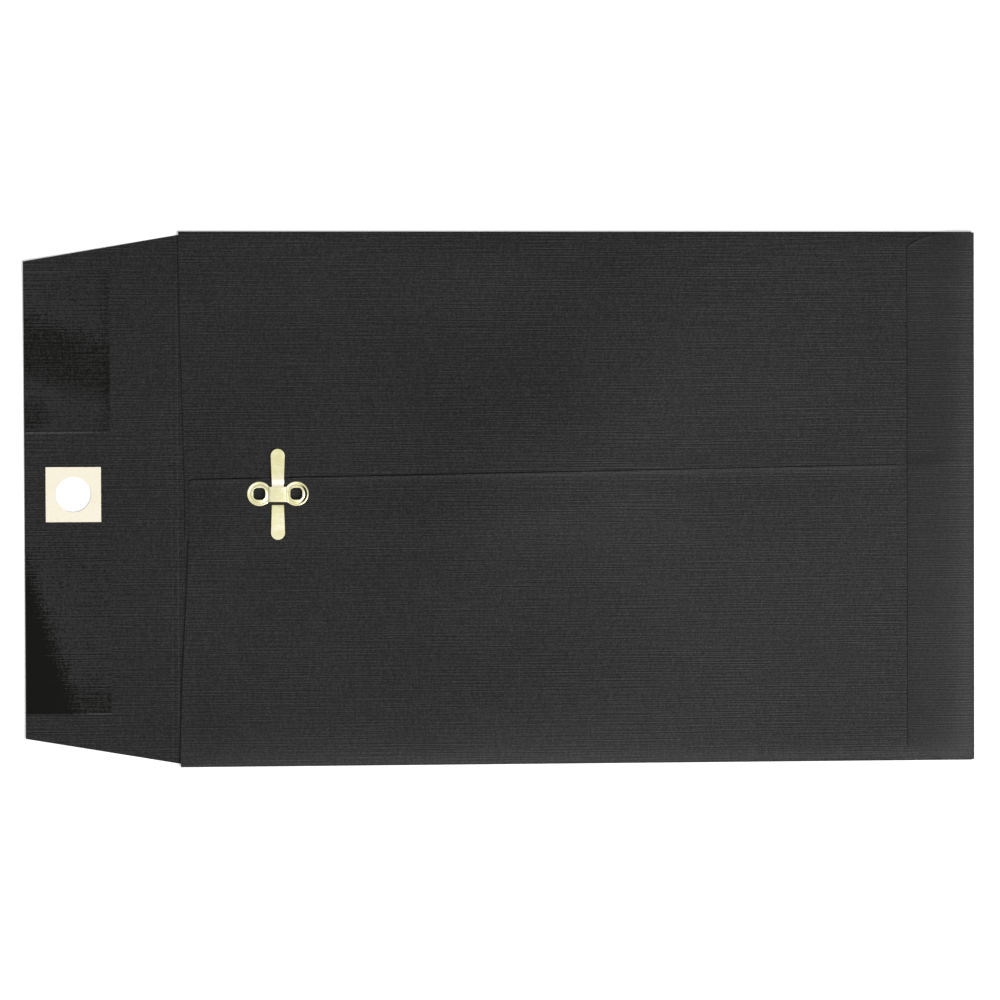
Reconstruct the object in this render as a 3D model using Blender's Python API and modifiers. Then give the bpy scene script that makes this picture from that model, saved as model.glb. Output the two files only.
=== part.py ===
# Clasp envelope for 6 x 9 inch papers, lying on its face with the closure flap open.
# Metres, +Z up. +X runs from the flap to the bottom end, +Y to the upper side fold.
# The origin is under the middle of the opened envelope, on the table.

import math

import bmesh
import bpy
from mathutils import Matrix, Vector

MM = 0.001

# Paper blank
PAPER = 0.20 * MM  # thickness of the sheet
BODY_LENGTH = 228.6 * MM  # throat fold to bottom fold
BODY_WIDTH = 152.4 * MM  # over the two side folds
POCKET_GAP = 0.60 * MM  # clear height inside the empty pocket
PASTE = 0.06 * MM  # room that a paste film takes between two sheets
SEAT_GAP = 0.01 * MM  # clearance between faces that lie on each other

# Closure flap and its double score
FLAP_DEPTH = 43.5 * MM  # throat fold to the flap's end
FLAP_ROOT_INSET = 1.0 * MM  # shoulder on each side at the throat
FLAP_END_INSET = 8.5 * MM  # drawn in on each side at the end
FOLD_ALLOWANCE = 0.24 * MM  # room between the closed flap and the pocket at the throat
CREASE_GAP = 0.15 * MM  # half of the slit that stands for a crease

# Back panels, seam and throat
THROAT_SET_BACK = 0.30 * MM  # throat fold to the ends of the side folds
THROAT_DEPTH_UPPER = 1.6 * MM  # how far the upper panel's edge is hollowed
THROAT_DEPTH_LOWER = 2.8 * MM  # how far the lower panel's edge is hollowed
THROAT_CORNER = 1.2 * MM  # rounded corner of the lower panel at the seam
SEAM_AT_THROAT = 5.6 * MM  # seam edge above the centre line, at the throat
SEAM_AT_BOTTOM = 9.5 * MM  # seam edge above the centre line, at the bottom fold
SEAM_OVERLAP = 17.0 * MM  # how far the upper panel runs under the lower one
SEAM_PASTE_MARGIN = 1.2 * MM  # paste film to the edges of the overlap

# Bottom flap
BOTTOM_FLAP_DEPTH = 19.6 * MM  # bottom end of the envelope to the flap's free edge
BOTTOM_CORNER_RUN = 13.0 * MM  # corner curve along the side
BOTTOM_CORNER_RISE = 4.2 * MM  # corner curve along the free edge
BOTTOM_PASTE_MARGIN = 2.0 * MM  # paste film to the free edge and to the fold
BOTTOM_PASTE_INSET = 6.0 * MM  # paste film to the sides

# Clasp
CLASP_FROM_FOLD = 28.2 * MM  # throat fold to the clasp's centre
CLASP_OFF_CENTRE = 1.6 * MM  # clasp and hole above the centre line
SADDLE_METAL = 0.25 * MM
RING_PITCH = 10.5 * MM  # between the two eyelets
RING_DIAMETER = 6.9 * MM
RING_HEIGHT = 0.50 * MM  # crest of the pressed beads over the paper
RING_EDGE = 0.20 * MM  # outer edge and groove over the paper
RING_HOLE = 3.3 * MM  # side of the pierced rounded square
RING_HOLE_CORNER = 0.9 * MM
BARREL_CLEARANCE = 0.10 * MM  # pierced barrel to the paper around it
CLINCH_REACH = 1.2 * MM  # petals turned out inside the pocket
CLINCH_METAL = 0.20 * MM
CLINCH_ROOT = 2.2 * MM  # width of a petal where it leaves the barrel
CLINCH_TIP = 1.5 * MM  # width of a petal's end
BRIDGE_WIDTH = 4.5 * MM
BRIDGE_CROWN = 0.08 * MM  # rise of the bridge's top in the middle
BRIDGE_RAMP = 1.0 * MM  # run of each ramp from the paper to the bridge
BRIDGE_SIDE_GAP = 0.22 * MM  # prong strip to the ramps
PRONG_METAL = 0.35 * MM
PRONG_SPAN = 26.2 * MM  # tip to tip
PRONG_ROOT_WIDTH = 3.45 * MM
PRONG_TIP_WIDTH = 4.05 * MM
PRONG_HINGE_GAP = 0.20 * MM  # half of the slit that stands for a prong's bend
PRONG_BEND_CLEARANCE = 0.35 * MM  # bridge's edge to the bend line
BRIDGE_LIFT = 0.03 * MM  # prong strip to the bridge above it

# Hole patch and gum on the flap
HOLE_DIAMETER = 10.0 * MM
PATCH_SIDE = 15.8 * MM
PATCH_CORNER = 0.3 * MM
PATCH_THICKNESS = 0.12 * MM
GUM_FILM = 0.05 * MM
GUM_DEPTH = 24.0 * MM  # along the flap, from its end
GUM_END_MARGIN = 0.3 * MM  # flap's end to the gum
GUM_CORNER = 0.6 * MM
GUM_UPPER_START = 18.9 * MM  # centre line to the upper strip
GUM_UPPER_LENGTH = 46.2 * MM
GUM_LOWER_START = 10.6 * MM  # centre line to the lower strip
GUM_LOWER_LENGTH = 50.4 * MM

# Facets, cutters and pivots
CUTTER_RUN = 1.0 * MM  # how far a cutter runs past what it cuts
WELD = 0.0005 * MM  # points closer than this are one point
PIVOT_MARK = 5.0 * MM  # drawn size of a joint's empty
SHARP_EDGE = math.radians(40)  # a sharper turn isn't shaded smooth
ARC_STEP = math.radians(9)  # turn between points of a round outline
FOLD_STEPS = 10  # facets round a fold
THROAT_STEPS = 16  # straight pieces along a throat edge
RING_STEPS = 44  # facets round an eyelet
BEAD_STEPS = 18  # facets across an eyelet's beads

# Finishes: linear colour, roughness, metallic
BLACK_PAPER = ((0.031, 0.031, 0.031), 0.62, 0.0)
GUM = ((0.012, 0.012, 0.011), 0.22, 0.0)
CREAM_PAPER = ((0.90, 0.84, 0.69), 0.70, 0.0)
PALE_BRASS = ((0.78, 0.72, 0.44), 0.30, 1.0)
DRY_PASTE = ((0.55, 0.52, 0.44), 0.50, 0.0)

# Levels of the stacked sheets, from the table up
face_top = PAPER
upper_bottom = face_top + POCKET_GAP
upper_top = upper_bottom + PAPER
lower_bottom = upper_top + PASTE
lower_top = lower_bottom + PAPER
bottom_flap_bottom = lower_top + PASTE
bottom_flap_top = bottom_flap_bottom + PAPER
saddle_seat = lower_top + SEAT_GAP

# Places along and across the envelope
half_width = BODY_WIDTH / 2
fold_x = FLAP_DEPTH - (BODY_LENGTH + FLAP_DEPTH) / 2
bottom_x = fold_x + BODY_LENGTH
flap_end_x = fold_x - FLAP_DEPTH
throat_x = fold_x + THROAT_SET_BACK
score_width = lower_top + FOLD_ALLOWANCE
score_x = fold_x - score_width
clasp_x = fold_x + CLASP_FROM_FOLD
hole_x = score_x - CLASP_FROM_FOLD
upper_fold_radius = upper_top / 2
lower_fold_radius = lower_top / 2
bottom_fold_radius = bottom_flap_top / 2
panel_end_x = bottom_x - bottom_fold_radius
upper_side_y = half_width - upper_fold_radius
lower_side_y = -half_width + lower_fold_radius
bend_y = BRIDGE_WIDTH / 2 + PRONG_BEND_CLEARANCE
barrel_side = RING_HOLE + 2 * SADDLE_METAL
paper_hole_side = barrel_side + 2 * BARREL_CLEARANCE

for old in list(bpy.data.objects):
    bpy.data.objects.remove(old)


def new_collection(name):
    collection = bpy.data.collections.new(name)
    bpy.context.scene.collection.children.link(collection)
    return collection


parts = new_collection("clasp_envelope")
cutters = new_collection("cutters")


# Outlines, as lists of points in the XY plane

def arc(centre_x, centre_y, radius, start, turn):
    steps = max(2, math.ceil(abs(turn) / ARC_STEP))
    angles = [start + turn * i / steps for i in range(steps + 1)]
    return [(centre_x + radius * math.cos(a), centre_y + radius * math.sin(a)) for a in angles]


def rounded_rectangle(centre_x, centre_y, width, height, radius):
    points = []
    for quarter, (sx, sy) in enumerate([(1, 1), (-1, 1), (-1, -1), (1, -1)]):
        x = centre_x + sx * (width / 2 - radius)
        y = centre_y + sy * (height / 2 - radius)
        points += arc(x, y, radius, quarter * math.pi / 2, math.pi / 2)
    return points


def seam_y(x):
    return SEAM_AT_THROAT + (SEAM_AT_BOTTOM - SEAM_AT_THROAT) * (x - fold_x) / (panel_end_x - fold_x)


def throat_edge(side_y, inner_y, depth):
    points = []
    for i in range(THROAT_STEPS + 1):
        share = i / THROAT_STEPS
        ease = (1 - math.cos(math.pi * share)) / 2
        points.append((throat_x + depth * ease, side_y + (inner_y - side_y) * share))
    return points


def flap_half_width(x):
    drawn_in = (FLAP_END_INSET - FLAP_ROOT_INSET) * (fold_x - x) / FLAP_DEPTH
    return half_width - FLAP_ROOT_INSET - drawn_in


def flap_band(near_x, far_x):
    near, far = flap_half_width(near_x), flap_half_width(far_x)
    return [(near_x, near), (far_x, far), (far_x, -far), (near_x, -near)]


def eyelet_centres():
    return [(clasp_x + side * RING_PITCH / 2, CLASP_OFF_CENTRE) for side in (-1, 1)]


def paper_holes():
    corner = RING_HOLE_CORNER + SADDLE_METAL + BARREL_CLEARANCE
    return [rounded_rectangle(x, y, paper_hole_side, paper_hole_side, corner) for x, y in eyelet_centres()]


# Objects

def finish(obj, look):
    colour, roughness, metallic = look
    material = bpy.data.materials.new(obj.name + "_finish")
    material.use_nodes = True
    shader = material.node_tree.nodes["Principled BSDF"]
    shader.inputs["Base Color"].default_value = (*colour, 1)
    shader.inputs["Roughness"].default_value = roughness
    shader.inputs["Metallic"].default_value = metallic
    obj.data.materials.append(material)


def flat_curve(name, outlines, thickness):
    curve = bpy.data.curves.new(name, "CURVE")
    curve.dimensions = "2D"
    curve.fill_mode = "BOTH"
    curve.extrude = thickness / 2
    for outline in outlines:
        spline = curve.splines.new("POLY")
        spline.points.add(len(outline) - 1)
        for point, (x, y) in zip(spline.points, outline):
            point.co = (x, y, 0, 1)
        spline.use_cyclic_u = True
    return bpy.data.objects.new(name, curve)


def solid_from_curve(source, collection):
    collection.objects.link(source)
    bpy.context.view_layer.update()
    graph = bpy.context.evaluated_depsgraph_get()
    mesh = bpy.data.meshes.new_from_object(source.evaluated_get(graph))
    welded = bmesh.new()
    welded.from_mesh(mesh)
    bmesh.ops.remove_doubles(welded, verts=welded.verts, dist=WELD)
    bmesh.ops.recalc_face_normals(welded, faces=welded.faces)
    welded.to_mesh(mesh)
    welded.free()
    solid = bpy.data.objects.new(source.name, mesh)
    solid.matrix_world = source.matrix_world
    name = source.name
    bpy.data.objects.remove(source)
    solid.name = name
    collection.objects.link(solid)
    return solid


def plate(name, outlines, bottom, thickness, look):
    """A flat sheet cut to an outline, with any holes as further outlines."""
    curve = flat_curve(name, outlines, thickness)
    curve.location.z = bottom + thickness / 2
    solid = solid_from_curve(curve, parts)
    finish(solid, look)
    return solid


def prism(name, outline, bottom, top):
    """A helper block that joins or cuts another piece."""
    curve = flat_curve(name, [outline], top - bottom)
    curve.location.z = (bottom + top) / 2
    solid = solid_from_curve(curve, cutters)
    solid.hide_render = True
    solid.display_type = "WIRE"
    return solid


def boolean(obj, other, operation):
    modifier = obj.modifiers.new(other.name, "BOOLEAN")
    modifier.operation = operation
    modifier.solver = "EXACT"
    modifier.object = other


def pivot(name, place, parent=None):
    empty = bpy.data.objects.new(name, None)
    empty.empty_display_size = PIVOT_MARK
    empty.location = place
    parts.objects.link(empty)
    hang(empty, parent)
    return empty


def hang(obj, carrier):
    bpy.context.view_layer.update()
    if carrier:
        obj.parent = carrier
        obj.matrix_parent_inverse = carrier.matrix_world.inverted()


# Paper pocket

def make_face_panel():
    left, right = fold_x + CREASE_GAP, panel_end_x - SEAT_GAP
    top, bottom = upper_side_y - SEAT_GAP, lower_side_y + SEAT_GAP
    outline = [(left, bottom), (right, bottom), (right, top), (left, top)]
    plate("face_panel", [outline], 0, PAPER, BLACK_PAPER)


def fold_outline(radius):
    quarter = math.pi / 2
    steps = [quarter - math.pi * i / FOLD_STEPS for i in range(FOLD_STEPS + 1)]
    outer = [(radius * math.cos(a), radius * math.sin(a)) for a in steps]
    inner = [((radius - PAPER) * math.cos(a), (radius - PAPER) * math.sin(a)) for a in reversed(steps)]
    return outer + inner


def make_fold(name, radius, length, middle, heading):
    """A half-round fold: its hollow side faces away from the heading, in the XY plane."""
    curve = flat_curve(name, [fold_outline(radius)], length)
    upright = Matrix.Rotation(math.pi / 2, 4, "X")
    curve.matrix_world = Matrix.Translation(middle) @ Matrix.Rotation(heading, 4, "Z") @ upright
    solid = solid_from_curve(curve, parts)
    solid.data.shade_smooth()
    solid.data.set_sharp_from_angle(angle=SHARP_EDGE)
    finish(solid, BLACK_PAPER)


def make_folds():
    side_length = panel_end_x - SEAT_GAP - throat_x
    side_middle = throat_x + side_length / 2
    upper_middle = (side_middle, upper_side_y, upper_fold_radius)
    make_fold("side_fold_upper", upper_fold_radius, side_length, upper_middle, math.pi / 2)
    lower_middle = (side_middle, lower_side_y, lower_fold_radius)
    make_fold("side_fold_lower", lower_fold_radius, side_length, lower_middle, -math.pi / 2)
    bottom_middle = (panel_end_x, 0, bottom_fold_radius)
    make_fold("bottom_fold", bottom_fold_radius, BODY_WIDTH, bottom_middle, 0)


def make_side_panels():
    right = panel_end_x - SEAT_GAP
    upper_y = upper_side_y - SEAT_GAP
    under_throat = seam_y(throat_x) - SEAM_OVERLAP
    under_bottom = seam_y(right) - SEAM_OVERLAP
    upper = throat_edge(upper_y, under_throat, THROAT_DEPTH_UPPER)
    upper += [(right, under_bottom), (right, upper_y)]
    plate("side_panel_upper", [upper, *paper_holes()], upper_bottom, PAPER, BLACK_PAPER)

    lower_y = lower_side_y + SEAT_GAP
    corner_x = throat_x + THROAT_DEPTH_LOWER
    corner_y = seam_y(corner_x)
    lower = throat_edge(lower_y, corner_y - THROAT_CORNER, THROAT_DEPTH_LOWER)
    rounding = arc(corner_x + THROAT_CORNER, corner_y - THROAT_CORNER, THROAT_CORNER, math.pi, -math.pi / 2)
    lower += rounding[1:]
    lower += [(right, seam_y(right)), (right, lower_y)]
    plate("side_panel_lower", [lower, *paper_holes()], lower_bottom, PAPER, BLACK_PAPER)


def make_seam_paste():
    left = throat_x + THROAT_DEPTH_LOWER + SEAM_PASTE_MARGIN
    right = panel_end_x - SEAM_PASTE_MARGIN
    film = [(x, seam_y(x) - SEAM_PASTE_MARGIN) for x in (left, right)]
    film += [(x, seam_y(x) - SEAM_OVERLAP + SEAM_PASTE_MARGIN) for x in (right, left)]
    thickness = PASTE - 2 * SEAT_GAP
    plate("seam_paste", [film, *paper_holes()], upper_top + SEAT_GAP, thickness, DRY_PASTE)


def bottom_corner(side):
    """The curve from the free edge to the side, which it meets without a kink."""
    radius = (BOTTOM_CORNER_RUN**2 + BOTTOM_CORNER_RISE**2) / (2 * BOTTOM_CORNER_RISE)
    end_x = bottom_x - BOTTOM_FLAP_DEPTH + BOTTOM_CORNER_RUN
    turn = math.asin(BOTTOM_CORNER_RUN / radius)
    return arc(end_x, side * (half_width - radius), radius, side * (math.pi / 2 + turn), -side * turn)


def make_bottom_flap():
    right = panel_end_x - SEAT_GAP
    outline = bottom_corner(1) + [(right, half_width), (right, -half_width)] + bottom_corner(-1)[::-1]
    plate("bottom_flap", [outline], bottom_flap_bottom, PAPER, BLACK_PAPER)


def make_bottom_paste():
    """One film: thin over the lower panel, thicker over the upper panel, which lies deeper."""
    left = bottom_x - BOTTOM_FLAP_DEPTH + BOTTOM_PASTE_MARGIN
    right = panel_end_x - BOTTOM_PASTE_MARGIN
    side = half_width - BOTTOM_PASTE_INSET
    top = bottom_flap_bottom - SEAT_GAP
    deep = [(x, seam_y(x) + SEAT_GAP) for x in (left, right)] + [(right, side), (left, side)]
    shallow = [(left, -side), (right, -side)]
    shallow += [(x, seam_y(x) + BOTTOM_PASTE_MARGIN) for x in (right, left)]
    deep_bottom = upper_top + SEAT_GAP
    film = plate("bottom_paste", [deep], deep_bottom, top - deep_bottom, DRY_PASTE)
    boolean(film, prism("shallow_paste", shallow, lower_top + SEAT_GAP, top), "UNION")


# Closure flap

def make_score_strip(carrier):
    band = flap_band(fold_x - CREASE_GAP, score_x + CREASE_GAP)
    hang(plate("score_strip", [band], 0, PAPER, BLACK_PAPER), carrier)


def make_closure_flap(carrier):
    band = flap_band(score_x - CREASE_GAP, flap_end_x)
    hole = arc(hole_x, CLASP_OFF_CENTRE, HOLE_DIAMETER / 2, 0, 2 * math.pi)[:-1]
    hang(plate("closure_flap", [band, hole], 0, PAPER, BLACK_PAPER), carrier)
    patch = rounded_rectangle(hole_x, CLASP_OFF_CENTRE, PATCH_SIDE, PATCH_SIDE, PATCH_CORNER)
    seat = PAPER + SEAT_GAP
    hang(plate("hole_patch", [patch, hole], seat, PATCH_THICKNESS, CREAM_PAPER), carrier)
    gum_x = flap_end_x + GUM_END_MARGIN + GUM_DEPTH / 2
    upper_y = GUM_UPPER_START + GUM_UPPER_LENGTH / 2
    lower_y = -GUM_LOWER_START - GUM_LOWER_LENGTH / 2
    upper = rounded_rectangle(gum_x, upper_y, GUM_DEPTH, GUM_UPPER_LENGTH, GUM_CORNER)
    lower = rounded_rectangle(gum_x, lower_y, GUM_DEPTH, GUM_LOWER_LENGTH, GUM_CORNER)
    hang(plate("gum_strip_upper", [upper], seat, GUM_FILM, GUM), carrier)
    hang(plate("gum_strip_lower", [lower], seat, GUM_FILM, GUM), carrier)


# Clasp

def bead_profile():
    """Half section of an eyelet: an outer bead, a groove and an inner bead round the hole."""
    outer = RING_DIAMETER / 2
    inner = RING_HOLE / 2 - SADDLE_METAL
    points = [(outer, 0)]
    for i in range(BEAD_STEPS + 1):
        share = i / BEAD_STEPS
        swell = math.sin(2 * math.pi * share) ** 2
        points.append((outer + (inner - outer) * share, RING_EDGE + (RING_HEIGHT - RING_EDGE) * swell))
    points.append((inner, 0))
    return points


def make_eyelet(name, place, collection):
    mesh = bpy.data.meshes.new(name)
    section = bmesh.new()
    corners = [section.verts.new((r, 0, z)) for r, z in bead_profile()]
    for first, second in zip(corners, corners[1:] + corners[:1]):
        section.edges.new((first, second))
    section.to_mesh(mesh)
    section.free()
    eyelet = bpy.data.objects.new(name, mesh)
    eyelet.location = place
    collection.objects.link(eyelet)
    turned = eyelet.modifiers.new("turned", "SCREW")
    turned.steps = turned.render_steps = RING_STEPS
    turned.use_merge_vertices = True
    turned.merge_threshold = WELD
    turned.use_normal_calculate = True
    return eyelet


def bridge_outline():
    """The bridge from the side: along X, and up from the paper."""
    foot = RING_PITCH / 2
    under = PRONG_METAL + BRIDGE_LIFT
    span = PRONG_ROOT_WIDTH / 2 + BRIDGE_SIDE_GAP
    toe = span + BRIDGE_RAMP
    top = under + SADDLE_METAL
    sagitta_radius = (span**2 + BRIDGE_CROWN**2) / (2 * BRIDGE_CROWN)
    turn = math.asin(span / sagitta_radius)
    crown = arc(0, top + BRIDGE_CROWN - sagitta_radius, sagitta_radius, math.pi / 2 + turn, -2 * turn)
    above = [(-foot, SADDLE_METAL), (-toe, SADDLE_METAL)]
    above += crown + [(toe, SADDLE_METAL), (foot, SADDLE_METAL)]
    below = [(foot, 0), (toe, 0), (span, under), (-span, under), (-toe, 0), (-foot, 0)]
    return above + below


def clinch_outline(centre):
    """Four petals round a pierced hole, turned out against the paper."""
    root = RING_HOLE / 2
    tip = barrel_side / 2 + CLINCH_REACH
    lower_side = [(root, -CLINCH_ROOT / 2), (tip, -CLINCH_TIP / 2)]
    petal = lower_side + [(x, -y) for x, y in reversed(lower_side)]
    points = []
    for quarter in range(4):
        turn = Matrix.Rotation(quarter * math.pi / 2, 2)
        points += [Vector(centre) + turn @ Vector(corner) for corner in petal]
    return points


def make_saddle():
    left, right = eyelet_centres()
    saddle = make_eyelet("clasp_saddle", (*left, saddle_seat), parts)
    other = make_eyelet("second_eyelet", (*right, saddle_seat), cutters)
    bridge_curve = flat_curve("bridge", [bridge_outline()], BRIDGE_WIDTH)
    upright = Matrix.Rotation(math.pi / 2, 4, "X")
    bridge_curve.matrix_world = Matrix.Translation((clasp_x, CLASP_OFF_CENTRE, saddle_seat)) @ upright
    bridge = solid_from_curve(bridge_curve, cutters)
    for helper in (other, bridge):
        helper.hide_render = True
        helper.display_type = "WIRE"
        boolean(saddle, helper, "UNION")
    clinch_top = upper_bottom - SEAT_GAP
    clinch_bottom = clinch_top - CLINCH_METAL
    barrel_corner = RING_HOLE_CORNER + SADDLE_METAL
    barrel_bottom = clinch_bottom + CLINCH_METAL / 2
    barrel_top = saddle_seat + RING_EDGE / 2
    hole_top = saddle_seat + RING_HEIGHT + CUTTER_RUN
    for side, centre in (("left", left), ("right", right)):
        outline = rounded_rectangle(*centre, barrel_side, barrel_side, barrel_corner)
        boolean(saddle, prism(side + "_barrel", outline, barrel_bottom, barrel_top), "UNION")
        petals = prism(side + "_clinch", clinch_outline(centre), clinch_bottom, clinch_top)
        boolean(saddle, petals, "UNION")
    for side, centre in (("left", left), ("right", right)):
        outline = rounded_rectangle(*centre, RING_HOLE, RING_HOLE, RING_HOLE_CORNER)
        hole = prism(side + "_hole", outline, clinch_bottom - CUTTER_RUN, hole_top)
        boolean(saddle, hole, "DIFFERENCE")
    finish(saddle, PALE_BRASS)


def prong_outline(side):
    start = bend_y + PRONG_HINGE_GAP
    tip_radius = PRONG_TIP_WIDTH / 2
    tip_y = PRONG_SPAN / 2 - tip_radius
    root_half = PRONG_ROOT_WIDTH / 2
    half_round = arc(0, tip_y, tip_radius, 0, math.pi)
    points = [(-root_half, start), (root_half, start)] + half_round
    return [(clasp_x + x, CLASP_OFF_CENTRE + side * y) for x, y in points]


def make_prongs():
    end = bend_y - PRONG_HINGE_GAP
    web = rounded_rectangle(clasp_x, CLASP_OFF_CENTRE, PRONG_ROOT_WIDTH, 2 * end, SADDLE_METAL)
    plate("prong_web", [web], saddle_seat, PRONG_METAL, PALE_BRASS)
    for name, side in (("prong_upper", 1), ("prong_lower", -1)):
        place = (clasp_x, CLASP_OFF_CENTRE + side * bend_y, saddle_seat + PRONG_METAL / 2)
        carrier = pivot(name + "_bend", place)
        hang(plate(name, [prong_outline(side)], saddle_seat, PRONG_METAL, PALE_BRASS), carrier)


def main():
    make_face_panel()
    make_folds()
    make_side_panels()
    make_seam_paste()
    make_bottom_flap()
    make_bottom_paste()
    score_fold = pivot("score_fold", (fold_x, 0, PAPER / 2))
    flap_fold = pivot("flap_fold", (score_x, 0, PAPER / 2), score_fold)
    make_score_strip(score_fold)
    make_closure_flap(flap_fold)
    make_saddle()
    make_prongs()


main()
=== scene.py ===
import math

import bmesh
import bpy
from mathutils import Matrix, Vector, noise


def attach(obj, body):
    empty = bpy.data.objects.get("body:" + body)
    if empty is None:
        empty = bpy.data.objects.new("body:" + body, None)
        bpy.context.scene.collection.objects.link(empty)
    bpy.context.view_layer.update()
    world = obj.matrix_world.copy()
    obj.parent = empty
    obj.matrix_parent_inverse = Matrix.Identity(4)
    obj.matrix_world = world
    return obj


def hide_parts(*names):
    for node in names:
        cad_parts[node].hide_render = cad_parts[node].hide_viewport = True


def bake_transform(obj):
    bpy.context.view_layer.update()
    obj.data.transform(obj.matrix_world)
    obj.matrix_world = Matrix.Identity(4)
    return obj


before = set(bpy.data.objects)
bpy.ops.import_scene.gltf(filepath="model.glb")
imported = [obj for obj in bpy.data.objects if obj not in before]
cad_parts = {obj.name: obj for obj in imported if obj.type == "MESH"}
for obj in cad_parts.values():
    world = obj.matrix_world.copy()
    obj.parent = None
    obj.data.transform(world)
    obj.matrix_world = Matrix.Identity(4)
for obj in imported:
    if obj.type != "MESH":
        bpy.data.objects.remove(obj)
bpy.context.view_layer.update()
mm = 0.001

# the flat blank, with +X from the flap to the bottom end
envelope = dict(
    paper=0.2 * mm,
    foldX=-92.55 * mm, scoreX=-94.05 * mm, flapEndX=-136.05 * mm, bottomX=136.05 * mm,
    halfWidth=76.2 * mm,
    faceZ=0.1 * mm, upperZ=0.9 * mm, lowerZ=1.16 * mm, bottomZ=1.42 * mm,  # middle of each sheet
    seamThroat=5.6 * mm, seamBottom=9.5 * mm,
    claspX=-64.35 * mm, claspY=1.6 * mm, claspZ=1.27 * mm,
    holeX=-122.25 * mm, holeRadius=5.0 * mm,
)
upperSideY = envelope["halfWidth"] - 0.5 * mm
lowerSideY = -envelope["halfWidth"] + 0.63 * mm
panelEndX = envelope["bottomX"] - 0.76 * mm
wingEndX = panelEndX - 0.01 * mm  # just short of the bottom fold
pocketX = envelope["foldX"] + 0.3 * mm  # the pocket starts beside the crease
stripMiddleX = (envelope["foldX"] + envelope["scoreX"]) / 2
eyelets = dict(pitch=10.5 * mm, paperHole=4.0 * mm, paperCorner=1.25 * mm)
# the third number of a point's place on the flat sheet, so that sheets over each other differ in pattern
layers = dict(face=0.0, upperWing=1.0, lowerWing=2.0, bottomWing=3.0, seamPaste=4.0, bottomPaste=5.0,
              patch=6.0, gum=7.0, saddle=8.0, prongs=9.0)


def smoothBetween(value, low, high):
    share = min(max((value - low) / (high - low), 0), 1)
    return share * share * (3 - 2 * share)


def hump(value, rise, fall):
    return smoothBetween(value, *rise) * (1 - smoothBetween(value, *fall))


def fadeOut(distance, reach):
    return math.exp(-distance / reach)


def bell(distance, width):
    return math.exp(-(distance / width) ** 2)


def crowdStart(share):
    return 1 - math.cos(share * math.pi / 2)


def crowdEnds(share):
    return (1 - math.cos(share * math.pi)) / 2


def seamY(x):
    share = (x - envelope["foldX"]) / (panelEndX - envelope["foldX"])
    return envelope["seamThroat"] + (envelope["seamBottom"] - envelope["seamThroat"]) * share


def eyeletX(side):
    return envelope["claspX"] + side * eyelets["pitch"] / 2


# selection and modifiers

def clearSelection():
    if bpy.context.mode != "OBJECT":
        bpy.ops.object.mode_set(mode="OBJECT")
    bpy.ops.object.select_all(action="DESELECT")


def makeActive(*pieces):
    clearSelection()
    for piece in pieces:
        piece.select_set(True)
    bpy.context.view_layer.objects.active = pieces[0]


def applyModifier(piece, kind, **settings):
    makeActive(piece)
    modifier = piece.modifiers.new(kind.lower(), kind)
    for name, value in settings.items():
        setattr(modifier, name, value)
    bpy.ops.object.modifier_apply(modifier=modifier.name)


def editEdges(piece, wanted):
    # opens the piece for editing with the wanted edges selected
    makeActive(piece)
    bpy.ops.object.mode_set(mode="EDIT")
    bpy.ops.mesh.select_mode(type="EDGE")
    bpy.ops.mesh.select_all(action="DESELECT")
    editing = bmesh.from_edit_mesh(piece.data)
    for edge in editing.edges:
        first, second = edge.verts
        edge.select = wanted(first.co, second.co)
    editing.select_flush_mode()
    bmesh.update_edit_mesh(piece.data)


def faceOutwards(piece):
    makeActive(piece)
    bpy.ops.object.mode_set(mode="EDIT")
    bpy.ops.mesh.select_all(action="SELECT")
    bpy.ops.mesh.remove_doubles(threshold=0.0005 * mm)
    bpy.ops.mesh.normals_make_consistent(inside=False)
    bpy.ops.object.mode_set(mode="OBJECT")


def addGrid(name, columns, rows, place):
    # a grid whose points go where place puts their two shares, each from 0 to 1
    clearSelection()
    bpy.ops.mesh.primitive_grid_add(x_subdivisions=columns, y_subdivisions=rows, size=2)
    piece = bpy.context.object
    piece.name = piece.data.name = name
    for vertex in piece.data.vertices:
        vertex.co = place((vertex.co.x + 1) / 2, (vertex.co.y + 1) / 2)
    return piece


def spinEdge(piece, index, place, centre, axis):
    # carries the edge that lies at one place, on x or y by its index, half a turn round a fold
    def onFold(first, second):
        return max(abs(first[index] - place), abs(second[index] - place)) < 0.001 * mm

    editEdges(piece, onFold)
    bpy.ops.mesh.spin(steps=10, angle=math.pi, center=centre, axis=axis)
    bpy.ops.object.mode_set(mode="OBJECT")
    faceOutwards(piece)


def thicken(piece, thickness):
    applyModifier(piece, "SOLIDIFY", thickness=thickness, offset=0, use_even_offset=True)
    faceOutwards(piece)


def bevelSharp(piece, width, segments, degrees):
    applyModifier(piece, "BEVEL", width=width, segments=segments, limit_method="ANGLE",
                  angle_limit=math.radians(degrees))


cutterDepth = 8 * mm


def cutOut(piece, cutter):
    applyModifier(piece, "BOOLEAN", operation="DIFFERENCE", solver="EXACT", object=cutter)
    bpy.data.objects.remove(cutter)


def cutFlapHole(piece):
    clearSelection()
    bpy.ops.mesh.primitive_cylinder_add(vertices=96, radius=envelope["holeRadius"], depth=cutterDepth,
                                        location=(envelope["holeX"], envelope["claspY"], 0))
    cutOut(piece, bpy.context.object)


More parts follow.
